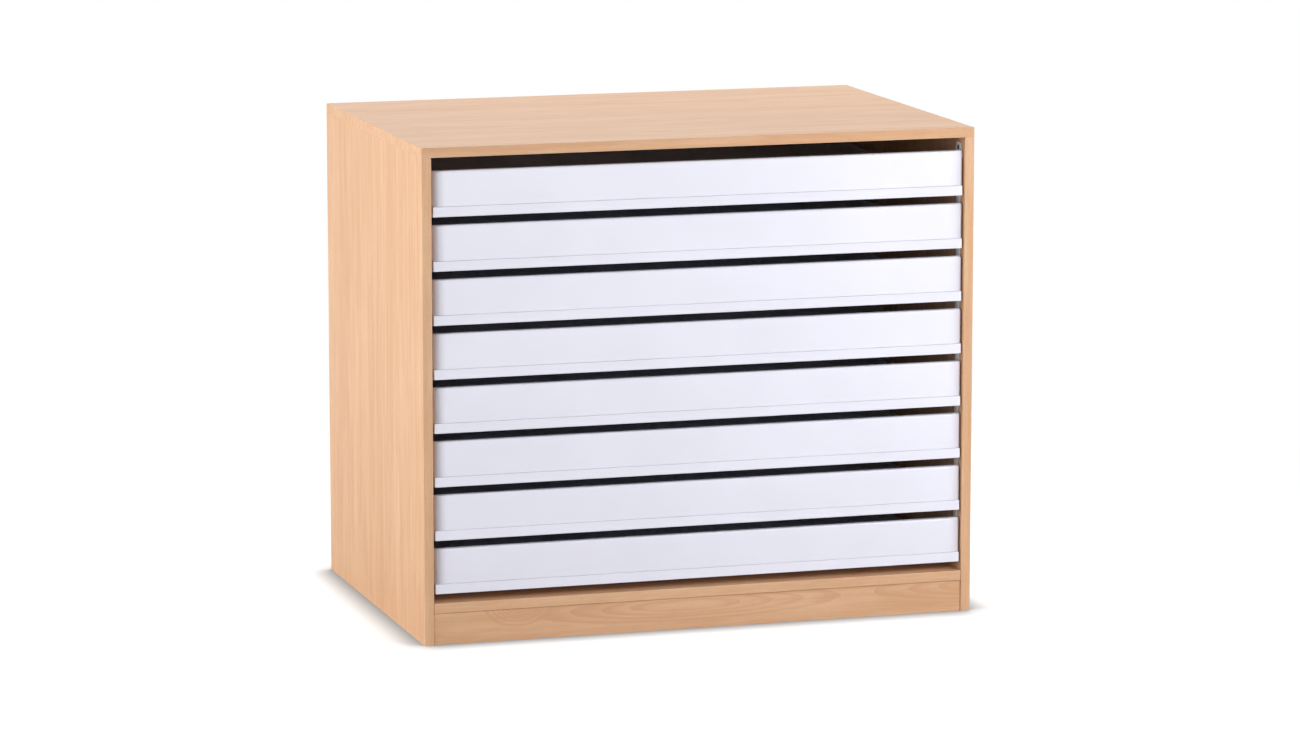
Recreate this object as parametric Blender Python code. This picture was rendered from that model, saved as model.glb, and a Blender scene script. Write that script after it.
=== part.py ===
"""Paper storage cabinet: a beech-faced carcase with a stack of shallow white drawers.

Metres, +Z up. The cabinet stands on z = 0, centred on the origin, with its front towards -Y.
Drawer 1 is the top one. Each drawer's base board slides in a pair of steel channels, which two
uprights on each side of the carcase carry.
"""

import math

import bmesh
import bpy

# Axes, as places in a point's coordinates
X, Y, Z = range(3)

# Carcase
CABINET_WIDTH = 1.100
CABINET_DEPTH = 0.750
CABINET_HEIGHT = 0.950
BOARD = 0.019
BOARD_EDGE_ROUND = 0.0015
SHELF_HEIGHT = 0.0615
PLINTH_SETBACK = 0.003
BACK_THICKNESS = 0.008
BACK_REBATE = 0.009
SYSTEM_HOLE_DIAMETER = 0.005
SYSTEM_HOLE_DEPTH = 0.012
SYSTEM_HOLE_FROM_EDGE = 0.037
SYSTEM_HOLE_FROM_TOP = 0.009
SYSTEM_HOLE_FROM_SHELF = 0.006

# Gap between pieces that touch
SEAT_GAP = 0.0003

# Drawer stack
DRAWER_COUNT = 8
DRAWER_SETBACK = 0.003
TOP_CLEARANCE = 0.0256
BOTTOM_CLEARANCE = 0.0174
FINGER_GAP = 0.0157
DRAWER_TRAVEL = 0.500

# Drawer pieces
BASE_BOARD = 0.019
BASE_EDGE_ROUND = 0.0008
FRONT_THICKNESS = 0.016
FRONT_END_RUN = 0.026
FRONT_END_DEPTH = 0.007
FRONT_TOP_ROUND = 0.004
FRONT_FOOT_ROUND = 0.001
WALL_THICKNESS = 0.010
WALL_TOP_ROUND = 0.003
WALL_DROP = 0.008

# Uprights
UPRIGHT_THICKNESS = 0.0015
UPRIGHT_WIDTH = 0.018
UPRIGHT_FROM_FRONT = 0.032
UPRIGHT_FROM_BACK = 0.030
UPRIGHT_FOOT = 0.003
HEAD_RISE = 0.0131
HEAD_TIP_WIDTH = 0.019
HEAD_SHOULDER_WIDTH = 0.038
HEAD_SLOPE = 0.018
HEAD_STRAIGHT = 0.008
HEAD_NECK = 0.016
HEAD_SCREW_DROP = 0.009
FOOT_SCREW_RISE = 0.035

# Channel runners
CHANNEL_WALL = 0.0015
CHANNEL_BEND = 0.0005
CHANNEL_REACH = 0.014
CHANNEL_FRONT_CLEARANCE = 0.0015
CHANNEL_REAR_CLEARANCE = 0.005
WELD_OVERLAP = 0.0005
SIDE_PLAY = 0.0011
LIFT_PLAY = 0.001
STOP_PLAY = 0.0005
WALL_PLAY = 0.0017
FRONT_PLAY = 0.0008
LUG_LENGTH = 0.012
LUG_DROP = 0.006
LUG_CORNER = 0.002
LUG_FROM_LIP = 0.003
GROOVE_PLAY = 0.0008

# Upright screws
SCREW_HEAD_DIAMETER = 0.009
SCREW_HEAD_THICKNESS = 0.0012
SCREW_SHANK_DIAMETER = 0.004
SCREW_SHANK_LENGTH = 0.014
SCREW_TIP_CLEARANCE = 0.0015

# Facets
CORNER_STEPS = 8
BEND_STEPS = 3
EDGE_STEPS = 2
TOP_STEPS = 3
ROUND_SIDES = 12

# Carcase faces
PANEL_OUTER = CABINET_WIDTH / 2
PANEL_INNER = PANEL_OUTER - BOARD
FRONT_FACE = -CABINET_DEPTH / 2
REAR_FACE = CABINET_DEPTH / 2
BACK_INNER = REAR_FACE - BACK_THICKNESS
SHELF_TOP = SHELF_HEIGHT + BOARD
CEILING = CABINET_HEIGHT - BOARD

# Heights of the drawer stack
STACK_FOOT = SHELF_TOP + BOTTOM_CLEARANCE
STACK_TOP = CEILING - TOP_CLEARANCE
DRAWER_HEIGHT = (STACK_TOP - STACK_FOOT - (DRAWER_COUNT - 1) * FINGER_GAP) / DRAWER_COUNT
DRAWER_PITCH = DRAWER_HEIGHT + FINGER_GAP

# Runner faces, as distances from the inner face of a side panel
UPRIGHT_INNER = SEAT_GAP + UPRIGHT_THICKNESS
CHANNEL_OUTER = UPRIGHT_INNER - WELD_OVERLAP
CHANNEL_INNER = CHANNEL_OUTER + CHANNEL_REACH
DRAWER_SIDE = CHANNEL_OUTER + CHANNEL_WALL + SIDE_PLAY
LUG_OUTER = CHANNEL_INNER - LUG_FROM_LIP - CHANNEL_WALL
LUG_INNER = LUG_OUTER + CHANNEL_WALL
WALL_OUTER = CHANNEL_INNER + WALL_PLAY

# Drawer faces, with x from the middle, y from the drawer's front and z from its underside
DRAWER_FRONT = FRONT_FACE + DRAWER_SETBACK
DRAWER_HALF = PANEL_INNER - DRAWER_SIDE
FRONT_HALF = PANEL_INNER - UPRIGHT_INNER - FRONT_PLAY
CHANNEL_FRONT = FRONT_THICKNESS + CHANNEL_FRONT_CLEARANCE
CHANNEL_REAR = BACK_INNER - CHANNEL_REAR_CLEARANCE - DRAWER_FRONT
END_PLATE = CHANNEL_REAR - WELD_OVERLAP - CHANNEL_WALL
LUG_FRONT = CHANNEL_FRONT + WELD_OVERLAP
LUG_REAR = LUG_FRONT + LUG_LENGTH
BASE_DEPTH = END_PLATE - STOP_PLAY
CHANNEL_FOOT = -SEAT_GAP - CHANNEL_WALL
CHANNEL_TOP = BASE_BOARD + LIFT_PLAY + CHANNEL_WALL
WALL_HALF = PANEL_INNER - WALL_OUTER
WALL_FOOT = BASE_BOARD + SEAT_GAP
WALL_TOP = DRAWER_HEIGHT - WALL_DROP
LUG_FOOT = CHANNEL_TOP - CHANNEL_WALL - LUG_DROP
GROOVE_FRONT = LUG_FRONT - GROOVE_PLAY
GROOVE_REAR = LUG_REAR + STOP_PLAY + DRAWER_TRAVEL
GROOVE_FLOOR = LUG_FOOT - GROOVE_PLAY

# Places of the uprights, from front to rear, and heights of their ends and screws
UPRIGHT_PLACES = {
    "front": FRONT_FACE + UPRIGHT_FROM_FRONT,
    "rear": BACK_INNER - UPRIGHT_FROM_BACK,
}
UPRIGHT_TOP = STACK_TOP + HEAD_RISE
UPRIGHT_BOTTOM = STACK_FOOT - UPRIGHT_FOOT
SCREW_HEIGHTS = {
    "upper": UPRIGHT_TOP - HEAD_SCREW_DROP,
    "lower": STACK_FOOT + FOOT_SCREW_RISE,
}
SIDES = {"left": -1, "right": 1}


def clear_scene():
    """Remove every object that the scene holds."""
    for item in list(bpy.data.objects):
        bpy.data.objects.remove(item, do_unlink=True)


def finish(name, colour, roughness, metallic=0.0):
    """Return a material with one colour, roughness and metallic value."""
    made = bpy.data.materials.new(name)
    made.use_nodes = True
    shader = made.node_tree.nodes["Principled BSDF"]
    shader.inputs["Base Color"].default_value = (*colour, 1.0)
    shader.inputs["Roughness"].default_value = roughness
    shader.inputs["Metallic"].default_value = metallic
    made.diffuse_color = (*colour, 1.0)
    return made


def drawer_underside(number):
    """Return the height of a drawer's underside, counting drawers from 1 at the top."""
    return STACK_FOOT + (DRAWER_COUNT - number) * DRAWER_PITCH


def prism(outline, axis, low, high):
    """Return a closed solid: a flat outline carried along one axis from low to high.

    The outline's points hold the two other coordinates, in the order X, Y, Z.
    """
    solid = bmesh.new()
    corners = []
    for point in outline:
        corner = list(point)
        corner.insert(axis, low)
        corners.append(solid.verts.new(corner))
    swept = bmesh.ops.extrude_face_region(solid, geom=[solid.faces.new(corners)])
    moved = [item for item in swept["geom"] if isinstance(item, bmesh.types.BMVert)]
    way = [0.0, 0.0, 0.0]
    way[axis] = high - low
    bmesh.ops.translate(solid, vec=way, verts=moved)
    bmesh.ops.recalc_face_normals(solid, faces=solid.faces[:])
    return solid


def ellipse_arc(centre, radii, first_turn, last_turn, steps):
    """Return points on an ellipse between two turns, which are counted in quarters of a circle."""
    points = []
    for step in range(steps + 1):
        turn = math.pi / 2 * (first_turn + (last_turn - first_turn) * step / steps)
        points.append((centre[0] + radii[0] * math.cos(turn), centre[1] + radii[1] * math.sin(turn)))
    return points


def arc(centre, radius, first_turn, last_turn, steps):
    """Return points on a circle between two turns, which are counted in quarters of it."""
    return ellipse_arc(centre, (radius, radius), first_turn, last_turn, steps)


def box(low, high):
    """Return a box between two opposite corners."""
    outline = [(low[X], low[Y]), (high[X], low[Y]), (high[X], high[Y]), (low[X], high[Y])]
    return prism(outline, Z, low[Z], high[Z])


def peg(centre, side, diameter, length):
    """Return a round peg that lies along X, from its centre point towards one side."""
    circle = arc((centre[Y], centre[Z]), diameter / 2, 0, 4, ROUND_SIDES)
    return prism(circle[:-1], X, centre[X], centre[X] + side * length)


def merge(solids):
    """Return one mesh that holds several solids, each still a body of its own."""
    whole = bmesh.new()
    for solid in solids:
        shape = bpy.data.meshes.new("solid")
        solid.to_mesh(shape)
        solid.free()
        whole.from_mesh(shape)
        bpy.data.meshes.remove(shape)
    return whole


def runs_along(edge, axis):
    """Tell whether an edge is straight along one axis."""
    way = edge.verts[1].co - edge.verts[0].co
    return abs(way[axis]) > 0.999 * way.length


def lies_at(edge, axis, level):
    """Tell whether both ends of an edge lie at one level along an axis."""
    return all(abs(vert.co[axis] - level) < SEAT_GAP / 10 for vert in edge.verts)


def round_edges(solid, chosen, radius, steps):
    """Round off the edges that a test chooses."""
    edges = [edge for edge in solid.edges if chosen(edge)]
    bmesh.ops.bevel(
        solid, geom=edges, offset=radius, offset_type="OFFSET", segments=steps, profile=0.5, affect="EDGES"
    )


def mesh_of(name, solid, smooth_below=30):
    """Return a solid as a mesh, shaded smooth across bends below an angle in degrees."""
    shape = bpy.data.meshes.new(name)
    solid.to_mesh(shape)
    solid.free()
    shape.shade_smooth()
    shape.set_sharp_from_angle(angle=math.radians(smooth_below))
    return shape


def place(name, shape, look, parent=None):
    """Put a mesh into the scene as a named object with a finish."""
    piece = bpy.data.objects.new(name, shape)
    bpy.context.scene.collection.objects.link(piece)
    if not shape.materials:
        shape.materials.append(look)
    piece.parent = parent
    return piece


def change_by(piece, solid, operation):
    """Join a solid to an object, or cut it from the object."""
    tool = bpy.data.objects.new("tool", mesh_of("tool", solid))
    tool.hide_render = True
    tool.display_type = "WIRE"
    bpy.context.scene.collection.objects.link(tool)
    change = piece.modifiers.new("change", "BOOLEAN")
    change.operation = operation
    change.solver = "EXACT"
    change.object = tool
    bpy.context.view_layer.update()
    graph = bpy.context.evaluated_depsgraph_get()
    shape = bpy.data.meshes.new_from_object(piece.evaluated_get(graph))
    shape.name = piece.name
    piece.modifiers.remove(change)
    piece.data = shape
    bpy.data.objects.remove(tool)


def make_side_panel(name, side, look):
    """Make a side panel with its back rebate, its system holes and the screws' pilot holes."""
    outer = side * PANEL_OUTER
    inner = side * PANEL_INNER
    step = side * (PANEL_INNER + BACK_REBATE)
    rebate_front = BACK_INNER - SEAT_GAP
    outline = [
        (outer, FRONT_FACE),
        (inner, FRONT_FACE),
        (inner, rebate_front),
        (step, rebate_front),
        (step, REAR_FACE),
        (outer, REAR_FACE),
    ]
    solid = prism(outline, Z, 0.0, CEILING - SEAT_GAP)
    round_edges(
        solid,
        lambda edge: runs_along(edge, Z) and (lies_at(edge, Y, FRONT_FACE) or lies_at(edge, X, outer)),
        BOARD_EDGE_ROUND,
        EDGE_STEPS,
    )
    panel = place(name, mesh_of(name, solid), look)
    holes = []
    mouth = side * (PANEL_INNER - SEAT_GAP)
    for across in (FRONT_FACE + SYSTEM_HOLE_FROM_EDGE, BACK_INNER - SYSTEM_HOLE_FROM_EDGE):
        for up in (CEILING - SYSTEM_HOLE_FROM_TOP, SHELF_TOP + SYSTEM_HOLE_FROM_SHELF):
            holes.append(peg((mouth, across, up), side, SYSTEM_HOLE_DIAMETER, SYSTEM_HOLE_DEPTH))
    for across in UPRIGHT_PLACES.values():
        for up in SCREW_HEIGHTS.values():
            holes.append(
                peg((mouth, across, up), side, SCREW_SHANK_DIAMETER + 2 * SEAT_GAP, SCREW_SHANK_LENGTH)
            )
    change_by(panel, merge(holes), "DIFFERENCE")


def make_carcase(beech, backing):
    """Make the boards of the carcase."""
    top = box((-PANEL_OUTER, FRONT_FACE, CEILING), (PANEL_OUTER, REAR_FACE, CABINET_HEIGHT))
    round_edges(top, lambda edge: True, BOARD_EDGE_ROUND, EDGE_STEPS)
    place("top_panel", mesh_of("top_panel", top), beech)

    for name, side in SIDES.items():
        make_side_panel(name + "_side_panel", side, beech)

    between = PANEL_INNER - SEAT_GAP
    shelf = box((-between, FRONT_FACE, SHELF_HEIGHT), (between, BACK_INNER - SEAT_GAP, SHELF_TOP))
    round_edges(
        shelf,
        lambda edge: runs_along(edge, X) and lies_at(edge, Y, FRONT_FACE),
        BOARD_EDGE_ROUND,
        EDGE_STEPS,
    )
    place("bottom_shelf", mesh_of("bottom_shelf", shelf), beech)

    plinth_top = SHELF_HEIGHT - SEAT_GAP
    plinth_fronts = {
        "front_plinth": FRONT_FACE + PLINTH_SETBACK,
        "rear_plinth": REAR_FACE - PLINTH_SETBACK - BOARD,
    }
    for name, front in plinth_fronts.items():
        plinth = box((-between, front, 0.0), (between, front + BOARD, plinth_top))
        round_edges(plinth, lambda edge: runs_along(edge, X), BOARD_EDGE_ROUND, EDGE_STEPS)
        place(name, mesh_of(name, plinth), beech)

    back_half = PANEL_INNER + BACK_REBATE - SEAT_GAP
    back = box((-back_half, BACK_INNER, SHELF_HEIGHT), (back_half, REAR_FACE, CEILING - SEAT_GAP))
    place("back_panel", mesh_of("back_panel", back), backing)


def upright_outline(centre):
    """Return the outline of an upright in Y and Z: a strip with a wider, tapered head."""
    strip = UPRIGHT_WIDTH / 2
    shoulder = HEAD_SHOULDER_WIDTH / 2
    tip = HEAD_TIP_WIDTH / 2
    slope_foot = UPRIGHT_TOP - HEAD_SLOPE
    neck_top = slope_foot - HEAD_STRAIGHT
    right_hand = [
        (strip, UPRIGHT_BOTTOM),
        (strip, neck_top - HEAD_NECK),
        (shoulder, neck_top),
        (shoulder, slope_foot),
        (tip, UPRIGHT_TOP),
    ]
    left_hand = [(-half, up) for half, up in reversed(right_hand)]
    return [(centre + half, up) for half, up in right_hand + left_hand]


def channel_section(side):
    """Return the section of a channel in X and Z: sheet folded twice, open towards the drawer."""
    outside = CHANNEL_BEND + CHANNEL_WALL
    lower = (outside, CHANNEL_FOOT + outside)
    upper = (outside, CHANNEL_TOP - outside)
    section = [(CHANNEL_REACH, CHANNEL_FOOT)]
    section += arc(lower, outside, 3, 2, BEND_STEPS)
    section += arc(upper, outside, 2, 1, BEND_STEPS)
    section += [(CHANNEL_REACH, CHANNEL_TOP), (CHANNEL_REACH, CHANNEL_TOP - CHANNEL_WALL)]
    section += arc(upper, CHANNEL_BEND, 1, 2, BEND_STEPS)
    section += arc(lower, CHANNEL_BEND, 2, 3, BEND_STEPS)
    section += [(CHANNEL_REACH, CHANNEL_FOOT + CHANNEL_WALL)]
    return [(side * (PANEL_INNER - CHANNEL_OUTER - reach), up) for reach, up in section]


def lug_outline():
    """Return the outline of a stop lug in Y and Z: its lower corners round, its root in the upper flange."""
    root = CHANNEL_TOP - CHANNEL_WALL + WELD_OVERLAP
    shoulder = LUG_FOOT + LUG_CORNER
    outline = arc((LUG_FRONT + LUG_CORNER, shoulder), LUG_CORNER, 2, 3, BEND_STEPS)
    outline += arc((LUG_REAR - LUG_CORNER, shoulder), LUG_CORNER, 3, 4, BEND_STEPS)
    return outline + [(LUG_REAR, root), (LUG_FRONT, root)]


def make_channel(side):
    """Return one channel runner with its rear end closed and a stop lug bent down at its front.

    Its y runs from the drawer's front face, and its z from the drawer's underside.
    """
    web = side * (PANEL_INNER - CHANNEL_OUTER - CHANNEL_WALL)
    lip = side * (PANEL_INNER - CHANNEL_INNER)
    floor = CHANNEL_FOOT + CHANNEL_WALL
    roof = CHANNEL_TOP - CHANNEL_WALL
    section = channel_section(side)
    channel = place("channel", mesh_of("channel", prism(section, Y, CHANNEL_FRONT, CHANNEL_REAR)), None)
    inset_lip = lip + side * WELD_OVERLAP
    end_plate = prism(
        [
            (web + side * WELD_OVERLAP, floor - WELD_OVERLAP),
            (inset_lip, floor - WELD_OVERLAP),
            (inset_lip, roof + WELD_OVERLAP),
            (web + side * WELD_OVERLAP, roof + WELD_OVERLAP),
        ],
        Y,
        END_PLATE,
        END_PLATE + CHANNEL_WALL,
    )
    lug = prism(lug_outline(), X, side * (PANEL_INNER - LUG_OUTER), side * (PANEL_INNER - LUG_INNER))
    change_by(channel, merge([end_plate, lug]), "UNION")
    solid = bmesh.new()
    solid.from_mesh(channel.data)
    bpy.data.objects.remove(channel)
    return solid


def make_runner_rack(name, side, look):
    """Make the two uprights of one side with a channel runner for each drawer."""
    outer = side * (PANEL_INNER - SEAT_GAP)
    inner = side * (PANEL_INNER - UPRIGHT_INNER)
    uprights = [prism(upright_outline(centre), X, outer, inner) for centre in UPRIGHT_PLACES.values()]
    rack = place(name, mesh_of(name, merge(uprights)), look)
    holes = []
    for across in UPRIGHT_PLACES.values():
        for up in SCREW_HEIGHTS.values():
            start = (side * PANEL_INNER, across, up)
            holes.append(
                peg(start, -side, SCREW_SHANK_DIAMETER + 2 * SEAT_GAP, UPRIGHT_INNER + SEAT_GAP)
            )
    change_by(rack, merge(holes), "DIFFERENCE")
    channels = []
    pattern = make_channel(side)
    for number in range(1, DRAWER_COUNT + 1):
        channel = pattern.copy()
        way = (0.0, DRAWER_FRONT, drawer_underside(number))
        bmesh.ops.translate(channel, vec=way, verts=channel.verts[:])
        channels.append(channel)
    pattern.free()
    change_by(rack, merge(channels), "UNION")


def make_screw(side):
    """Return an upright screw: a thin round head on a shank that points into the side panel.

    Its origin is under the head, on the upright's inner face.
    """
    head = SCREW_HEAD_DIAMETER / 2
    shank = SCREW_SHANK_DIAMETER / 2
    tip = UPRIGHT_INNER + SCREW_SHANK_LENGTH - SCREW_TIP_CLEARANCE
    profile = [
        (0.0, -SEAT_GAP - SCREW_HEAD_THICKNESS),
        (head, -SEAT_GAP - SCREW_HEAD_THICKNESS),
        (head, -SEAT_GAP),
        (shank, -SEAT_GAP),
        (shank, tip - shank),
        (0.0, tip),
    ]
    solid = bmesh.new()
    corners = [solid.verts.new((side * along, radius, 0.0)) for radius, along in profile]
    edges = [solid.edges.new(pair) for pair in zip(corners, corners[1:])]
    bmesh.ops.spin(
        solid, geom=corners + edges, axis=(1, 0, 0), cent=(0, 0, 0), angle=2 * math.pi, steps=ROUND_SIDES
    )
    bmesh.ops.remove_doubles(solid, verts=solid.verts[:], dist=SEAT_GAP / 100)
    bmesh.ops.recalc_face_normals(solid, faces=solid.faces[:])
    return solid


def make_screws(look):
    """Put a screw through each end of each upright."""
    for side_name, side in SIDES.items():
        shape = mesh_of("upright_screw_" + side_name, make_screw(side))
        for row, across in UPRIGHT_PLACES.items():
            for level, up in SCREW_HEIGHTS.items():
                screw = place(f"{side_name}_{row}_{level}_screw", shape, look)
                screw.location = (side * (PANEL_INNER - UPRIGHT_INNER), across, up)


def front_outline():
    """Return the drawer front's outline in X and Y: a board whose face curves back at both ends."""
    depth = min(FRONT_END_DEPTH, FRONT_THICKNESS - SEAT_GAP)
    across = FRONT_HALF - FRONT_END_RUN
    outline = [(-FRONT_HALF, FRONT_THICKNESS)]
    outline += ellipse_arc((-across, depth), (FRONT_END_RUN, depth), 2, 3, CORNER_STEPS)
    outline += ellipse_arc((across, depth), (FRONT_END_RUN, depth), 3, 4, CORNER_STEPS)
    outline.append((FRONT_HALF, FRONT_THICKNESS))
    return outline


def make_front():
    """Return a drawer front with a soft top edge and a small round along its foot."""
    solid = prism(front_outline(), Z, WALL_FOOT, DRAWER_HEIGHT)
    round_edges(solid, lambda edge: lies_at(edge, Z, DRAWER_HEIGHT), FRONT_TOP_ROUND, TOP_STEPS)
    round_edges(
        solid,
        lambda edge: lies_at(edge, Z, WALL_FOOT) and not lies_at(edge, Y, FRONT_THICKNESS),
        FRONT_FOOT_ROUND,
        1,
    )
    return solid


def make_base():
    """Return a drawer's base board as a mesh, with a groove near each side for the stop lugs."""
    solid = box((-DRAWER_HALF, 0.0, 0.0), (DRAWER_HALF, BASE_DEPTH, BASE_BOARD))
    round_edges(solid, lambda edge: True, BASE_EDGE_ROUND, 1)
    base = place("base", mesh_of("drawer_base", solid), None)
    grooves = []
    for side in SIDES.values():
        walls = [
            side * (PANEL_INNER - LUG_INNER - GROOVE_PLAY),
            side * (PANEL_INNER - LUG_OUTER + GROOVE_PLAY),
        ]
        low = (min(walls), GROOVE_FRONT, GROOVE_FLOOR)
        high = (max(walls), GROOVE_REAR, BASE_BOARD + SEAT_GAP)
        grooves.append(box(low, high))
    change_by(base, merge(grooves), "DIFFERENCE")
    shape = base.data
    bpy.data.objects.remove(base)
    return shape


def make_back_wall():
    """Return a drawer's back wall, a board with round top edges that ends clear of the channels."""
    low = (-WALL_HALF, BASE_DEPTH - WALL_THICKNESS, WALL_FOOT)
    high = (WALL_HALF, BASE_DEPTH, WALL_TOP)
    solid = box(low, high)
    round_edges(solid, lambda edge: lies_at(edge, Z, WALL_TOP), WALL_TOP_ROUND, EDGE_STEPS)
    return solid


def make_drawers(looks):
    """Put the drawers in, each carried by an empty at the middle of its front's lower edge."""
    shapes = {
        "base": make_base(),
        "front": mesh_of("drawer_front", make_front()),
        "back_wall": mesh_of("drawer_back_wall", make_back_wall()),
    }
    for number in range(1, DRAWER_COUNT + 1):
        slide = bpy.data.objects.new(f"drawer_{number}_slide", None)
        slide.location = (0.0, DRAWER_FRONT, drawer_underside(number))
        bpy.context.scene.collection.objects.link(slide)
        for part, shape in shapes.items():
            place(f"drawer_{number}_{part}", shape, looks[part], slide)


def main():
    """Build the cabinet."""
    clear_scene()
    beech = finish("beech_decor", (0.72, 0.47, 0.29), 0.45)
    backing = finish("beech_backing", (0.66, 0.45, 0.29), 0.6)
    white_edge = finish("white_board", (0.84, 0.84, 0.88), 0.5)
    white_front = finish("white_front", (0.82, 0.82, 0.87), 0.3)
    white_wall = finish("white_wall", (0.80, 0.80, 0.84), 0.4)
    grey_steel = finish("grey_painted_steel", (0.55, 0.56, 0.60), 0.4)
    zinc = finish("zinc_plated_steel", (0.50, 0.50, 0.50), 0.35, 1.0)
    make_carcase(beech, backing)
    for name, side in SIDES.items():
        make_runner_rack(name + "_runner_rack", side, grey_steel)
    make_screws(zinc)
    make_drawers(
        {
            "base": white_edge,
            "front": white_front,
            "back_wall": white_wall,
        }
    )


main()
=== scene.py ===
"""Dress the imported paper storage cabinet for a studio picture.

The CAD model is the frame. Each board, drawer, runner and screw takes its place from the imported
node that it stands for, and rides on that node's body. Lengths are metres, +Z is up, and the
cabinet's front faces -Y.
"""

from __future__ import annotations

import logging
import math
from dataclasses import dataclass, field
from enum import Enum
from typing import Any, Callable, Sequence, Union

import bmesh
import bpy
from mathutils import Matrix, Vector

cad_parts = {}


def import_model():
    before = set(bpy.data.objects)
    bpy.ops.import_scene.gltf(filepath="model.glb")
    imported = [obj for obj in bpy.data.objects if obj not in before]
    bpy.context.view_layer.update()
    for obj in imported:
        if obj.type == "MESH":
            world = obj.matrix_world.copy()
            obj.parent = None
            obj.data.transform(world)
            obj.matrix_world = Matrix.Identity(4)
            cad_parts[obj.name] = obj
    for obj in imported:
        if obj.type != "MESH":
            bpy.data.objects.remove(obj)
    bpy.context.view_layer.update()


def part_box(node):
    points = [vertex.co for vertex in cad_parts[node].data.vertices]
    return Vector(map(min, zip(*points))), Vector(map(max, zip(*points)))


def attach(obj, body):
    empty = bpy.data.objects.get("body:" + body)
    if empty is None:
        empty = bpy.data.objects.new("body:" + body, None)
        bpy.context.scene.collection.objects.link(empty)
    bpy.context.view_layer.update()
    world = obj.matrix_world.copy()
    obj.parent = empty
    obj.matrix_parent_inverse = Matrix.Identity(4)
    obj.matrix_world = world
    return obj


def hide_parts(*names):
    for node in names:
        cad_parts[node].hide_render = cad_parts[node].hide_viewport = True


LOG = logging.getLogger("paper_cabinet")

Flat = tuple[float, float]
Span = tuple[float, float]
Place = tuple[float, float, float]
Colour = tuple[float, float, float]
Chooser = Callable[[bmesh.types.BMEdge], bool]

CABINET = "cabinet"
DRAWER_COUNT = 8
X, Y, Z = range(3)
EAST, NORTH, WEST, SOUTH, ROUND = range(5)  # directions on an arc, in quarters of a turn
WHITE: Colour = (1.0, 1.0, 1.0)
MIDDLE = 0.5  # of a noise, and of the tone between two colours
COATING_IOR = 1.5
MIX_SHARE, MIX_FIRST, MIX_SECOND, MIX_RESULT = 0, 6, 7, 2  # the Mix node's sockets for colours
SHARP_ANGLE = math.radians(38.0)
MERGE_DISTANCE = 1e-6
LEVEL_TOLERANCE = 2e-5
STRAIGHT_SHARE = 0.999
CHAMFER = 1  # the steps of a round that is only a flat chamfer
LEVEL_PITCH = 90.0  # degrees, for a camera that looks level
OVERCUT = 0.001  # how far a cutting solid reaches past the face that it cuts


class Slot(Enum):
    """The material slots that the finishes belong to."""

    BEECH_BOARD = "beech_board"
    BEECH_BACKING = "beech_backing"
    WHITE_BOARD = "white_board"
    WHITE_FRONT = "white_front"
    WHITE_WALL = "white_wall"
    PAINTED_STEEL = "grey_painted_steel"
    ZINC_SCREW = "zinc_screw"


class Grain(Enum):
    """Which way the fibres run: the axes along, across and through the grain."""

    LEFT_RIGHT = (X, Y, Z)
    PLINTH = (X, Z, Y)
    FRONT_BACK = (Y, X, Z)
    UPRIGHT = (Z, Y, X)
    BACK = (Z, X, Y)


class Side(Enum):
    """A side of the cabinet, as the sign of its X."""

    LEFT = -1
    RIGHT = 1

    @property
    def label(self) -> str:
        """The side's name as the CAD nodes spell it."""
        return self.name.lower()


class Row(Enum):
    """A row of uprights, as the CAD nodes spell it."""

    FRONT = "front"
    REAR = "rear"


class Level(Enum):
    """The level of an upright's screw, as the CAD nodes spell it."""

    UPPER = "upper"
    LOWER = "lower"


class Change(Enum):
    """What a solid does to a piece, as the Boolean modifier spells it."""

    CUT = "DIFFERENCE"
    JOIN = "UNION"


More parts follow.
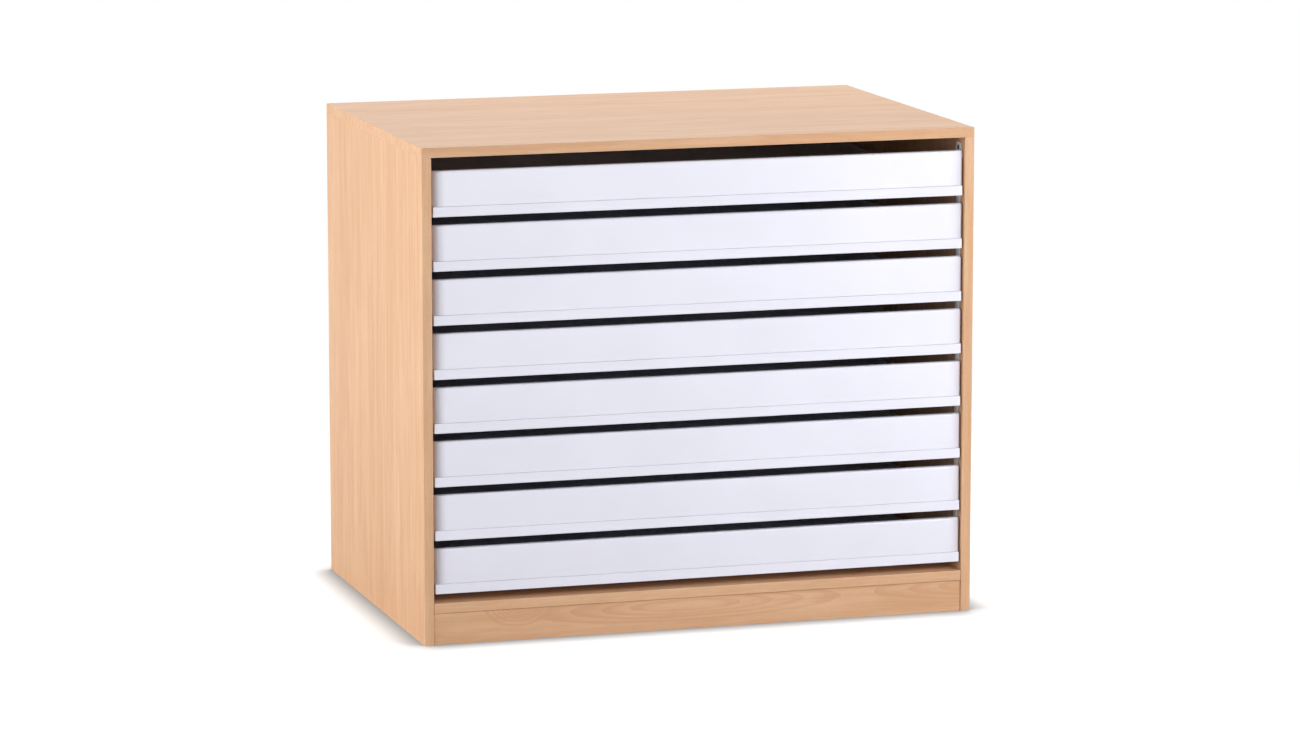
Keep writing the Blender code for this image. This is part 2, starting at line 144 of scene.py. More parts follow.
class Signal:
    """An output of a shader node, whose arithmetic adds the nodes that it needs."""

    def __init__(self, graph: Graph, socket: bpy.types.NodeSocket) -> None:
        """Keep the graph and the socket.

        Args:
            graph: The graph that holds the node.
            socket: The output that this signal stands for.
        """
        self.graph = graph
        self.socket = socket

    def __add__(self, other: Value) -> Signal:
        """Add a value."""
        return self.graph.combine("ADD", self, other)

    def __radd__(self, other: Value) -> Signal:
        """Be added to a value."""
        return self.graph.combine("ADD", other, self)

    def __sub__(self, other: Value) -> Signal:
        """Take a value away."""
        return self.graph.combine("SUBTRACT", self, other)

    def __rsub__(self, other: Value) -> Signal:
        """Be taken away from a value."""
        return self.graph.combine("SUBTRACT", other, self)

    def __mul__(self, other: Value) -> Signal:
        """Multiply by a value."""
        return self.graph.combine("MULTIPLY", self, other)

    def __rmul__(self, other: Value) -> Signal:
        """Multiply a value."""
        return self.graph.combine("MULTIPLY", other, self)

    def __truediv__(self, other: Value) -> Signal:
        """Divide by a value."""
        return self.graph.combine("DIVIDE", self, other)

    def __rtruediv__(self, other: Value) -> Signal:
        """Divide a value."""
        return self.graph.combine("DIVIDE", other, self)

    def __pow__(self, other: Value) -> Signal:
        """Raise to a power."""
        return self.graph.combine("POWER", self, other)

    def __rpow__(self, other: Value) -> Signal:
        """Be the power of a value."""
        return self.graph.combine("POWER", other, self)

    def __neg__(self) -> Signal:
        """Turn the sign."""
        return self.graph.combine("MULTIPLY", self, -1.0)

    def __abs__(self) -> Signal:
        """Drop the sign."""
        return self.graph.combine("ABSOLUTE", self, 0.0)

    def least(self, other: Value) -> Signal:
        """Give the smaller of two values."""
        return self.graph.combine("MINIMUM", self, other)

    def most(self, other: Value) -> Signal:
        """Give the larger of two values."""
        return self.graph.combine("MAXIMUM", self, other)

    def fraction(self) -> Signal:
        """Give what is left of a number above the whole number below it."""
        return self.graph.combine("FRACT", self, 0.0)

    def rise(self, low: float, high: float) -> Signal:
        """Climb smoothly from 0 at one value to 1 at another.

        Args:
            low: The value where the climb starts.
            high: The value where it ends.

        Returns:
            The climb, held between 0 and 1.
        """
        settings = {"interpolation_type": "SMOOTHSTEP", "clamp": True}
        inputs = {"Value": self, "From Min": low, "From Max": high}
        return self.graph.node("ShaderNodeMapRange", settings, inputs)


Value = Union[Signal, float, Sequence[float]]


class Graph:
    """The node graph of one material or of the world."""

    def __init__(self, tree: bpy.types.NodeTree) -> None:
        """Start with an empty graph.

        Args:
            tree: The node tree to fill.
        """
        self.tree = tree
        self.tree.nodes.clear()

    def node(
        self,
        kind: str,
        settings: dict[str, Any] | None = None,
        inputs: dict[str | int, Any] | None = None,
        output: str | int = 0,
    ) -> Signal | None:
        """Add a node.

        Args:
            kind: The node's type.
            settings: Its settings, which are set before its sockets.
            inputs: Values or signals for its sockets, by name or number.
            output: The output to return, by name or number.

        Returns:
            The chosen output, or nothing for a node without outputs.
        """
        made = self.tree.nodes.new(kind)
        for name, setting in (settings or {}).items():
            setattr(made, name, setting)
        for key, value in (inputs or {}).items():
            socket = made.inputs[key]
            if isinstance(value, Signal):
                self.tree.links.new(value.socket, socket)
            elif socket.type == "RGBA":
                socket.default_value = (*value, 1.0)
            else:
                socket.default_value = value
        return Signal(self, made.outputs[output]) if made.outputs else None

    def combine(self, operation: str, first: Value, second: Value) -> Signal:
        """Work out two values by the kind of node that suits them.

        Args:
            operation: The operation's name.
            first: The first value.
            second: The second value.

        Returns:
            The result.
        """
        kinds = {value.socket.type for value in (first, second) if isinstance(value, Signal)}
        if "RGBA" in kinds:
            return self.mix(1.0, first, second, operation)
        kind = "ShaderNodeVectorMath" if "VECTOR" in kinds else "ShaderNodeMath"
        return self.node(kind, {"operation": operation}, {0: first, 1: second})

    def mix(self, share: Value, first: Value, second: Value, blend: str = "MIX") -> Signal:
        """Mix two colours.

        Args:
            share: The share of the second colour.
            first: The first colour.
            second: The second colour.
            blend: How the second colour acts on the first.

        Returns:
            The mixed colour.
        """
        settings = {"data_type": "RGBA", "blend_type": blend}
        inputs = {MIX_SHARE: share, MIX_FIRST: first, MIX_SECOND: second}
        return self.node("ShaderNodeMix", settings, inputs, MIX_RESULT)

    def place(self) -> Signal:
        """Give the place on the piece, which at rest is the place in the cabinet."""
        return self.node("ShaderNodeTexCoord", output="Object")

    def split(self, vector: Signal) -> list[Signal]:
        """Split a vector into its three parts."""
        parted = self.node("ShaderNodeSeparateXYZ", None, {0: vector})
        return [Signal(self, socket) for socket in parted.socket.node.outputs]

    def join(self, *parts: Value) -> Signal:
        """Join three parts into a vector."""
        return self.node("ShaderNodeCombineXYZ", None, dict(enumerate(parts)))

    def noise(self, vector: Signal, scale: float = 1.0, detail: float = 0.0) -> Signal:
        """Give soft noise between 0 and 1.

        Args:
            vector: Where the noise is read.
            scale: How many times it changes in a metre.
            detail: How many finer layers it has.

        Returns:
            The noise.
        """
        inputs = {"Vector": vector, "Scale": scale, "Detail": detail}
        return self.node("ShaderNodeTexNoise", None, inputs)

    def bump(self, height: Signal, depth: float, strength: float = 1.0) -> Signal:
        """Turn a height into a bent normal.

        Args:
            height: The height, from 0 to 1.
            depth: What a height of 1 is in metres.
            strength: The share of the bend that is used.

        Returns:
            The normal.
        """
        inputs = {"Height": height, "Distance": depth, "Strength": strength}
        return self.node("ShaderNodeBump", None, inputs)

    def edge_distance(self, place: Signal, low: Vector, high: Vector) -> Signal:
        """Measure how far a point of a box's surface is from the nearest edge.

        Args:
            place: The point.
            low: The box's lowest corner.
            high: The box's highest corner.

        Returns:
            The distance in metres, which is the second least of the distances to the faces.
        """
        gaps = []
        for axis, part in enumerate(self.split(place)):
            middle = (low[axis] + high[axis]) / 2
            gaps.append((high[axis] - low[axis]) / 2 - abs(part - middle))
        first, second, third = gaps
        return first.least(second).most(first.most(second).least(third))

    def glow(self, strength: float) -> Signal:
        """Give plain white light of a strength."""
        return self.node("ShaderNodeEmission", None, {"Color": WHITE, "Strength": strength})

    def blend(self, share: Signal, first: Signal, second: Signal) -> Signal:
        """Mix two shaders by the share of the second."""
        return self.node("ShaderNodeMixShader", None, {0: share, 1: first, 2: second})

    def surface(self, shader: Signal) -> None:
        """Send a shader to the material's output."""
        self.node("ShaderNodeOutputMaterial", None, {"Surface": shader})

    def principled(self, **inputs: Value) -> None:
        """Finish the material with a principled shader.

        Args:
            inputs: Its sockets' values, by their names with underscores for spaces.
        """
        named = {name.replace("_", " "): value for name, value in inputs.items()}
        named["IOR"] = COATING_IOR
        self.surface(self.node("ShaderNodeBsdfPrincipled", None, named))


@dataclass(frozen=True)
class Mottle:
    """Even noise: how many times it changes in a metre, and how many finer layers it has."""

    scale: float
    detail: float = 0.0

    def noise(self, graph: Graph, place: Signal) -> Signal:
        """Give the noise at a place, between 0 and 1."""
        return graph.noise(place, self.scale, self.detail)


@dataclass(frozen=True)
class Layer:
    """Noise along a grain: its changes in a metre each way, finer layers, weight and start."""

    along: float
    across: float
    detail: float
    weight: float
    start: float = 0.0

    def noise(self, graph: Graph, along: Signal, across: Signal, through: Signal | float) -> Signal:
        """Give the layer's noise.

        Args:
            graph: The graph to fill.
            along: The place along the grain.
            across: The place across the grain.
            through: The place through the board.

        Returns:
            The noise, between 0 and 1.
        """
        first = along * self.along
        if self.start:
            first = first + self.start
        spot = graph.join(first, across * self.across, through * self.across)
        return graph.noise(spot, detail=self.detail)


@dataclass(frozen=True)
class Finish:
    """A finish with a name, which its kinds paint in their own ways."""

    name: str
    slot: Slot

    def material(self) -> bpy.types.Material:
        """Give the finish's material.

        Returns:
            The material, made the first time that it is asked for.
        """
        made = bpy.data.materials.get(self.name)
        if made is None:
            made = bpy.data.materials.new(self.name)
            made.use_nodes = True
            self.paint(Graph(made.node_tree))
        return made

    def paint(self, graph: Graph) -> None:
        """Fill the material's graph.

        Args:
            graph: The graph to fill.
        """
        raise NotImplementedError


@dataclass(frozen=True)
class Heart:
    """The middle of a set of growth rings, which lie round it as long ovals."""

    along: float
    across: float
    length: float
    width: float
    rings: float

    def count(self, along: Signal, across: Signal) -> Signal:
        """Count the rings between the outside and a place.

        Args:
            along: The place along the grain.
            across: The place across the grain.

        Returns:
            The count, most at the heart.
        """
        far_along = (along - self.along) / self.length
        far_across = (across - self.across) / self.width
        return self.rings * math.e ** -(far_along ** 2.0 + far_across ** 2.0)


@dataclass(frozen=True)
class RingFigure:
    """Growth rings: each has a pale line, a dark shade inside it and finer dark lines."""

    hearts: tuple[Heart, ...]
    blotch_bend: float = 0.50
    ripple: Layer = Layer(16.0, 60.0, 2.0, 0.25)
    fine_rings: float = 3.0
    shade: float = 0.42
    shade_rise: Span = (0.10, 0.85)
    line: float = 0.80
    line_at: float = 0.05
    line_half: float = 0.06
    thin_line: float = 0.16
    thin_line_at: float = 0.15
    thin_line_half: float = 0.15
    fade_rise: Span = (0.25, 1.25)

    def draw(self, graph: Graph, along: Signal, across: Signal, blotches: Signal) -> Signal:
        """Draw the rings round the hearts.

        Args:
            graph: The graph to fill.
            along: The place along the grain.
            across: The place across the grain.
            blotches: Soft noise that bends the rings.

        Returns:
            What the rings add to the tone.
        """
        count: Signal | None = None
        for heart in self.hearts:
            inside = heart.count(along, across)
            count = inside if count is None else count.most(inside)
        ripple = self.ripple.noise(graph, along, across, 0.0) - MIDDLE
        bent = count + blotches * self.blotch_bend + ripple * self.ripple.weight
        turn = bent.fraction()
        fine = (bent * self.fine_rings).fraction()
        shade = 1.0 - turn.rise(*self.shade_rise)
        line = 1.0 - abs(turn - self.line_at).rise(0.0, self.line_half)
        thin_line = 1.0 - abs(fine - self.thin_line_at).rise(0.0, self.thin_line_half)
        tone = line * self.line - shade * self.shade - thin_line * self.thin_line
        return tone * count.rise(*self.fade_rise)


@dataclass(frozen=True)
class BeechDecor(Finish):
    """Beech-faced board: streaks, blotches, fine fibres and short ray flecks, and any rings."""

    grain: Grain
    low: Vector
    high: Vector
    light: Colour = (0.765, 0.490, 0.303)
    dark: Colour = (0.655, 0.372, 0.206)
    rosy: Colour = (0.735, 0.413, 0.242)
    fleck: Colour = (0.500, 0.250, 0.125)
    figure: RingFigure | None = None
    roughness: float = 0.50
    gloss: float = 0.26
    sway: Layer = Layer(1.6, 4.0, 1.0, 0.010)
    streaks: Layer = Layer(3.2, 80.0, 3.0, 1.20)
    bands: Layer = Layer(1.1, 17.0, 1.0, 0.65)
    blotches: Layer = Layer(9.0, 36.0, 2.0, 0.65)
    fibres: Layer = Layer(22.0, 850.0, 2.0, 0.90)
    fibre_roughness: float = 0.10
    warmth: Layer = Layer(4.0, 50.0, 2.0, 0.30, 7.0)
    warmth_rise: Span = (0.45, 0.75)
    flecks: Layer = Layer(150.0, 1250.0, 0.0, 0.30)
    fleck_rise: Span = (0.66, 0.80)
    fleck_roughness: float = 0.06
    wear: float = 0.22
    wear_width: float = 0.0030
    wear_patches: Mottle = Mottle(35.0, 2.0)
    wear_rise: Span = (0.30, 0.70)
    wear_polish: float = 0.06
    relief: float = 0.5
    relief_depth: float = 0.00012
    relief_strength: float = 0.35

    def paint(self, graph: Graph) -> None:
        """Fill the material's graph.

        Args:
            graph: The graph to fill.
        """
        place = graph.place()
        parts = graph.split(place)
        along, straight, through = (parts[axis] for axis in self.grain.value)
        sway = self.sway.noise(graph, along, straight, through) - MIDDLE
        grain = (along, straight + sway * self.sway.weight, through)
        streaks = self.streaks.noise(graph, *grain) - MIDDLE
        bands = self.bands.noise(graph, *grain) - MIDDLE
        blotches = self.blotches.noise(graph, *grain) - MIDDLE
        fibres = self.fibres.noise(graph, *grain) - MIDDLE
        warmth = self.warmth.noise(graph, *grain).rise(*self.warmth_rise)
        flecks = self.flecks.noise(graph, *grain).rise(*self.fleck_rise)

        tone = MIDDLE + streaks * self.streaks.weight + bands * self.bands.weight
        tone = tone + blotches * self.blotches.weight + fibres * self.fibres.weight
        if self.figure:
            tone = tone + self.figure.draw(graph, along, straight, blotches)
        colour = graph.mix(tone.rise(0.0, 1.0), self.dark, self.light)
        colour = graph.mix(warmth * self.warmth.weight, colour, self.rosy)
        colour = graph.mix(flecks * self.flecks.weight, colour, self.fleck)
        edge = graph.edge_distance(place, self.low, self.high)
        patches = self.wear_patches.noise(graph, place).rise(*self.wear_rise)
        worn = (1.0 - edge.rise(0.0, self.wear_width)) * patches
        colour = graph.mix(worn * self.wear, colour, self.light)

        roughness = self.roughness + fibres * self.fibre_roughness
        roughness = roughness + flecks * self.fleck_roughness - worn * self.wear_polish
        height = fibres * self.relief - flecks * self.relief
        graph.principled(
            Base_Color=colour,
            Roughness=roughness,
            Specular_IOR_Level=self.gloss,
            Normal=graph.bump(height, self.relief_depth, self.relief_strength),
        )


@dataclass(frozen=True)
class WhiteDecor(Finish):
    """White-coated board: a fine pearl texture, a faintly uneven sheen, any curl of its ends."""

    colour: Colour
    roughness: float
    curl_from: float = 0.0
    curl_run: float = 0.0
    curl_depth: float = 0.0
    gloss: float = 0.5
    cloud: float = 0.03
    clouds: Mottle = Mottle(6.0, 2.0)
    cloud_rise: Span = (0.30, 0.70)
    smear: float = 0.06
    smears: Mottle = Mottle(22.0, 3.0)
    pearls: Mottle = Mottle(1.0 / 0.0009, 1.0)  # pearls of 0.9 mm
    pearl_rise: Span = (0.60, 0.80)
    pearl_light: float = 0.05
    pearl_roughness: float = 0.05
    pearl_depth: float = 0.00004

    def paint(self, graph: Graph) -> None:
        """Fill the material's graph.

        Args:
            graph: The graph to fill.
        """
        place = graph.place()
        clouds = self.clouds.noise(graph, place).rise(*self.cloud_rise)
        pearls = self.pearls.noise(graph, place)
        smears = self.smears.noise(graph, place) - MIDDLE
        shade = tuple(part * (1.0 - self.cloud) for part in self.colour)
        colour = graph.mix(clouds, shade, self.colour)
        colour = graph.mix(pearls.rise(*self.pearl_rise) * self.pearl_light, colour, WHITE)
        roughness = self.roughness + smears * self.smear
        roughness = roughness + (pearls - MIDDLE) * self.pearl_roughness
        height = pearls * self.pearl_depth
        if self.curl_run:
            share = ((abs(graph.split(place)[X]) - self.curl_from) / self.curl_run).most(0.0)
            height = height - share ** 2.0 * self.curl_depth
        graph.principled(
            Base_Color=colour,
            Roughness=roughness,
            Specular_IOR_Level=self.gloss,
            Normal=graph.bump(height, 1.0),
        )


@dataclass(frozen=True)
class PaintedSteel(Finish):
    """Light grey powder paint with orange peel, rubbed where the drawers slide."""

    colour: Colour = (0.940, 0.945, 0.980)
    rubbed: Colour = (0.760, 0.765, 0.790)
    roughness: float = 0.42
    peel: Mottle = Mottle(900.0, 1.0)
    peel_roughness: float = 0.12
    peel_depth: float = 0.00006
    speckle: Mottle = Mottle(2600.0)
    speckle_rise: Span = (0.35, 0.75)
    speckle_light: float = 0.10
    scuff_across: float = 900.0
    scuff_along: float = 14.0
    scuff_detail: float = 2.0
    scuff_rise: Span = (0.60, 0.76)
    scuff_share: float = 0.35
    scuff_polish: float = 0.10

    def paint(self, graph: Graph) -> None:
        """Fill the material's graph.

        Args:
            graph: The graph to fill.
        """
        place = graph.place()
        across, along, up = graph.split(place)
        spot = graph.join(
            across * self.scuff_across, along * self.scuff_along, up * self.scuff_across
        )
        scuffs = graph.noise(spot, detail=self.scuff_detail).rise(*self.scuff_rise)
        peel = self.peel.noise(graph, place)
        speckle = self.speckle.noise(graph, place).rise(*self.speckle_rise)
        colour = graph.mix(speckle * self.speckle_light, self.colour, WHITE)
        colour = graph.mix(scuffs * self.scuff_share, colour, self.rubbed)
        roughness = self.roughness + (peel - MIDDLE) * self.peel_roughness
        roughness = roughness - scuffs * self.scuff_polish
        normal = graph.bump(peel, self.peel_depth)
        graph.principled(Base_Color=colour, Roughness=roughness, Normal=normal)


@dataclass(frozen=True)
class ZincPlate(Finish):
    """Dark zinc plate with cloudy spangle and fine turning marks."""

    colour: Colour = (0.300, 0.305, 0.320)
    dull: Colour = (0.130, 0.132, 0.140)
    roughness: float = 0.30
    spangle: Mottle = Mottle(700.0, 3.0)
    spangle_rise: Span = (0.35, 0.65)
    spangle_roughness: float = 0.25
    marks: Mottle = Mottle(5200.0, 1.0)
    mark_roughness: float = 0.12
    mark_depth: float = 0.00003

    def paint(self, graph: Graph) -> None:
        """Fill the material's graph.

        Args:
            graph: The graph to fill.
        """
        place = graph.place()
        spangle = self.spangle.noise(graph, place)
        marks = self.marks.noise(graph, place)
        colour = graph.mix(spangle.rise(*self.spangle_rise), self.dull, self.colour)
        roughness = self.roughness + (spangle - MIDDLE) * self.spangle_roughness
        roughness = roughness + (marks - MIDDLE) * self.mark_roughness
        normal = graph.bump(marks, self.mark_depth)
        graph.principled(Base_Color=colour, Roughness=roughness, Metallic=1.0, Normal=normal)


@dataclass
class Solid:
    """A closed solid in the making."""

    mesh: bmesh.types.BMesh = field(default_factory=bmesh.new)

    @classmethod
    def prism(cls, outline: Sequence[Flat], axis: int, low: float, high: float) -> Solid:
        """Carry a flat outline along an axis.

        Args:
            outline: Points with the two other coordinates, in the order X, Y, Z.
            axis: The axis to carry it along.
            low: Where the solid starts.
            high: Where it ends.

        Returns:
            The solid.
        """
        made = cls()
        corners = []
        for point in outline:
            corner = list(point)
            corner.insert(axis, low)
            corners.append(made.mesh.verts.new(corner))
        swept = bmesh.ops.extrude_face_region(made.mesh, geom=[made.mesh.faces.new(corners)])
        way = [0.0, 0.0, 0.0]
        way[axis] = high - low
        moved = [item for item in swept["geom"] if isinstance(item, bmesh.types.BMVert)]
        bmesh.ops.translate(made.mesh, vec=way, verts=moved)
        bmesh.ops.recalc_face_normals(made.mesh, faces=made.mesh.faces[:])
        return made

    @classmethod
    def block(cls, low: Sequence[float], high: Sequence[float]) -> Solid:
        """Make a block between two opposite corners."""
        outline = [(low[X], low[Y]), (high[X], low[Y]), (high[X], high[Y]), (low[X], high[Y])]
        return cls.prism(outline, Z, low[Z], high[Z])

    @classmethod
    def rod(cls, centre: Sequence[float], reach: float, diameter: float, sides: int = 32) -> Solid:
        """Make a round rod that lies along X.

        Args:
            centre: The middle of its first end.
            reach: How far it goes, with its sign.
            diameter: Its thickness.
            sides: How many flat sides stand for the round.

        Returns:
            The solid.
        """
        circle = arc((centre[Y], centre[Z]), diameter / 2, EAST, ROUND, sides)
        return cls.prism(circle[:-1], X, centre[X], centre[X] + reach)

    @classmethod
    def lathe(
        cls, centre: Sequence[float], way: float, profile: Sequence[Flat], steps: int = 48
    ) -> Solid:
        """Turn a profile about a line along X.

        Args:
            centre: A point on the line, where the profile starts.
            way: The direction of the line, as a sign.
            profile: Radius and length along the line, from one end on the line to the other.
            steps: How many steps go round.

        Returns:
            The solid.
        """
        made = cls()
        corners = []
        for radius, along in profile:
            point = (centre[X] + way * along, centre[Y] + radius, centre[Z])
            corners.append(made.mesh.verts.new(point))
        edges = [made.mesh.edges.new(pair) for pair in zip(corners, corners[1:])]
        bmesh.ops.spin(
            made.mesh,
            geom=corners + edges,
            axis=(1, 0, 0),
            cent=centre,
            angle=math.tau,
            steps=steps,
        )
        bmesh.ops.remove_doubles(made.mesh, verts=made.mesh.verts[:], dist=MERGE_DISTANCE)
        bmesh.ops.recalc_face_normals(made.mesh, faces=made.mesh.faces[:])
        return made

    def round(self, chosen: Chooser, radius: float, steps: int) -> Solid:
        """Round off the edges that a test chooses.

        Args:
            chosen: The test.
            radius: The round's radius.
            steps: How many faces make up the round.

        Returns:
            This solid.
        """
        edges = [edge for edge in self.mesh.edges if chosen(edge)]
        bmesh.ops.bevel(
            self.mesh,
            geom=edges,
            offset=radius,
            offset_type="OFFSET",
            segments=steps,
            profile=0.5,
            affect="EDGES",
        )
        return self

    def add(self, other: Solid) -> None:
        """Hold another solid too, as a body of its own.

        Args:
            other: The solid to hold, which is used up.
        """
        shape = other.shape("added")
        self.mesh.from_mesh(shape)
        bpy.data.meshes.remove(shape)

    def shape(self, name: str) -> bpy.types.Mesh:
        """Turn the solid into a mesh and drop it.

        Args:
            name: The mesh's name.

        Returns:
            The mesh, shaded smooth except across sharp edges.
        """
        made = bpy.data.meshes.new(name)
        self.mesh.to_mesh(made)
        self.mesh.free()
        made.shade_smooth()
        made.set_sharp_from_angle(angle=SHARP_ANGLE)
        return made


@dataclass
class Piece:
    """One visible piece of the cabinet."""

    name: str
    item: bpy.types.Object

    @classmethod
    def of(cls, name: str, shape: bpy.types.Mesh) -> Piece:
        """Put a mesh into the scene as a piece.

        Args:
            name: The piece's name.
            shape: Its mesh.

        Returns:
            The piece.
        """
        item = bpy.data.objects.new(name, shape)
        bpy.context.scene.collection.objects.link(item)
        return cls(name, item)

    def change(self, solid: Solid, change: Change) -> Piece:
        """Cut a solid out of the piece, or join it to the piece.

        Args:
            solid: The solid.
            change: What the solid does.

        Returns:
            This piece.
        """
        tool = Piece.of("tool", solid.shape("tool")).item
        step = self.item.modifiers.new("change", "BOOLEAN")
        step.operation = change.value
        step.solver = "EXACT"
        step.object = tool
        bpy.context.view_layer.update()
        graph = bpy.context.evaluated_depsgraph_get()
        shape = bpy.data.meshes.new_from_object(self.item.evaluated_get(graph))
        shape.name = self.name
        shape.set_sharp_from_angle(angle=SHARP_ANGLE)
        self.item.modifiers.remove(step)
        self.item.data = shape
        bpy.data.objects.remove(tool)
        return self

    def dress(self, finish: Finish, *others: Finish) -> Piece:
        """Give the piece its finishes.

        Args:
            finish: The finish of the first slot.
            others: Finishes of further slots.

        Returns:
            This piece.
        """
        self.item.data.materials.clear()
        for look in (finish, *others):
            self.item.data.materials.append(look.material())
        return self

    def settle(self, body: str, *nodes: str) -> None:
        """Let the piece ride on a body in place of CAD nodes.

        Args:
            body: The body that carries the piece.
            nodes: The CAD nodes that the piece stands for.
        """
        smooth = self.item.modifiers.new("even_normals", "WEIGHTED_NORMAL")
        smooth.keep_sharp = True
        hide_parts(*nodes)
        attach(self.item, body)
        LOG.info("%s rides on %s for %s", self.name, body, ", ".join(nodes))


def arc(
    centre: Flat, radius: float, first: float, last: float, steps: int, depth: float | None = None
) -> list[Flat]:
    """Give points on an arc of a circle, or of an ellipse if a depth is given.

    Args:
        centre: The arc's centre.
        radius: Its radius, which for an ellipse lies along the first coordinate.
        first: Where it starts, in quarters of a turn.
        last: Where it ends, in quarters of a turn.
        steps: How many steps it takes.
        depth: An ellipse's radius along the second coordinate.

    Returns:
        The points, both ends included.
    """
    rise = radius if depth is None else depth
    points = []
    for step in range(steps + 1):
        turn = math.pi / 2 * (first + (last - first) * step / steps)
        points.append((centre[0] + radius * math.cos(turn), centre[1] + rise * math.sin(turn)))
    return points


def runs_along(edge: bmesh.types.BMEdge, axis: int) -> bool:
    """Tell whether an edge is straight along one axis."""
    way = edge.verts[1].co - edge.verts[0].co
    return abs(way[axis]) > STRAIGHT_SHARE * way.length


def lies_at(edge: bmesh.types.BMEdge, axis: int, level: float) -> bool:
    """Tell whether both ends of an edge lie at one level along an axis."""
    return all(abs(vert.co[axis] - level) < LEVEL_TOLERANCE for vert in edge.verts)


def screw_node(side: Side, row: Row, level: Level) -> str:
    """Name the CAD node of an upright's screw."""
    return f"{side.label}_{row.value}_{level.value}_screw"


def middle_of(node: str) -> Vector:
    """Give the middle of a CAD node's box."""
    low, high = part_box(node)
    return (low + high) / 2


@dataclass
class Carcase:
    """The beech boards of the cabinet, with the back panel in its rebate."""

    edge_round: float = 0.0015
    joint_break: float = 0.0002
    joint_gap: float = 0.00025
    round_steps: int = 5
    rebate_depth: float = 0.0090
    rebate_run: float = 0.0083
    hole_diameter: float = 0.0050
    hole_depth: float = 0.0120
    hole_from_front: float = 0.0370
    hole_from_back: float = 0.0450
    hole_from_top: float = 0.0090
    hole_above_shelf: float = 0.0060
    hole_overcut: float = 0.0003
    pilot_diameter: float = 0.0046
    pilot_depth: float = 0.0140
    back_round: float = 0.0004
    back_steps: int = 2
    top_gloss: float = 0.19
    end_normal: float = 0.72  # the least X of a banded end's normals
    plinth_figure: RingFigure = RingFigure(
        (
            Heart(-0.365, 0.068, 0.050, 0.030, 7.0),
            Heart(-0.030, 0.047, 0.250, 0.025, 5.0),
            Heart(0.660, 0.050, 0.250, 0.025, 5.0),
        )
    )

    def build(self) -> None:
        """Build and dress every board."""
        self._board("top_panel", Grain.LEFT_RIGHT, ends=Grain.FRONT_BACK, gloss=self.top_gloss)
        self._board("bottom_shelf", Grain.LEFT_RIGHT)
        self._board("front_plinth", Grain.PLINTH, figure=self.plinth_figure)
        self._board("rear_plinth", Grain.PLINTH, figure=self.plinth_figure)
        for side in Side:
            self._side_panel(side)
        self._back_panel()

    def _board(self, name: str, grain: Grain, ends: Grain | None = None, **look: Any) -> None:
        """Build a board with round edges, which are only broken where it lies on another board.

        Args:
            name: The CAD node that the board stands for.
            grain: The grain of its faces and long edges.
            ends: The grain of the banding on its left and right ends, if that differs.
            look: Fields of the finish that differ from the usual.
        """
        low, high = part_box(name)
        solid = Solid.block(low, high)
        solid.round(lambda edge: not lies_at(edge, Z, low.z), self.edge_round, self.round_steps)
        solid.round(lambda edge: lies_at(edge, Z, low.z), self.joint_break, CHAMFER)
        shape = solid.shape(name)
        finishes = [BeechDecor(f"beech_{name}", Slot.BEECH_BOARD, grain, low, high, **look)]
        if ends:
            banding = f"beech_{name}_ends"
            finishes.append(BeechDecor(banding, Slot.BEECH_BOARD, ends, low, high, **look))
            for face in shape.polygons:
                face.material_index = int(abs(face.normal.x) > self.end_normal)
        Piece.of(f"{name}_board", shape).dress(*finishes).settle(CABINET, name)

    def _side_panel(self, side: Side) -> None:
        """Build a side panel with its rebate, system holes and pilot holes.

        Args:
            side: The side that the panel closes.
        """
        name = f"{side.label}_side_panel"
        low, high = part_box(name)
        outer, inner = (low.x, high.x) if side is Side.LEFT else (high.x, low.x)
        step = inner + side.value * self.rebate_depth
        rebate = high.y - self.rebate_run
        outline = [
            (outer, low.y),
            (inner, low.y),
            (inner, rebate),
            (step, rebate),
            (step, high.y),
            (outer, high.y),
        ]
        solid = Solid.prism(outline, Z, low.z, high.z + self.joint_gap).round(
            lambda edge: runs_along(edge, Z)
            and (lies_at(edge, Y, low.y) or lies_at(edge, X, outer)),
            self.edge_round,
            self.round_steps,
        )
        finish = BeechDecor(f"beech_{name}", Slot.BEECH_BOARD, Grain.UPRIGHT, low, high)
        panel = Piece.of(f"{name}_board", solid.shape(name))
        panel.change(self._holes(side, inner, low, high), Change.CUT)
        panel.dress(finish).settle(CABINET, name)

    def _holes(self, side: Side, inner: float, low: Vector, high: Vector) -> Solid:
        """Make the rods that cut a side panel's holes.

        Args:
            side: The panel's side.
            inner: The panel's inner face.
            low: The panel's lowest corner.
            high: The panel's highest corner.

        Returns:
            The rods, as one solid.
        """
        mouth = inner - side.value * self.hole_overcut
        shelf_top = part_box("bottom_shelf")[1].z
        rods = Solid()
        for across in (low.y + self.hole_from_front, high.y - self.hole_from_back):
            for up in (high.z - self.hole_from_top, shelf_top + self.hole_above_shelf):
                start = (mouth, across, up)
                rods.add(Solid.rod(start, side.value * self.hole_depth, self.hole_diameter))
        for row in Row:
            for level in Level:
                middle = middle_of(screw_node(side, row, level))
                start = (mouth, middle.y, middle.z)
                rods.add(Solid.rod(start, side.value * self.pilot_depth, self.pilot_diameter))
        return rods

    def _back_panel(self) -> None:
        """Build the thin back panel."""
        low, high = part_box("back_panel")
        solid = Solid.block(low, high).round(lambda edge: True, self.back_round, self.back_steps)
        finish = BeechDecor(
            "beech_back_foil",
            Slot.BEECH_BACKING,
            Grain.BACK,
            low,
            high,
            light=(0.760, 0.500, 0.330),
            dark=(0.640, 0.395, 0.245),
            roughness=0.58,
        )
        panel = Piece.of("back_panel_board", solid.shape("back_panel"))
        panel.dress(finish).settle(CABINET, "back_panel")


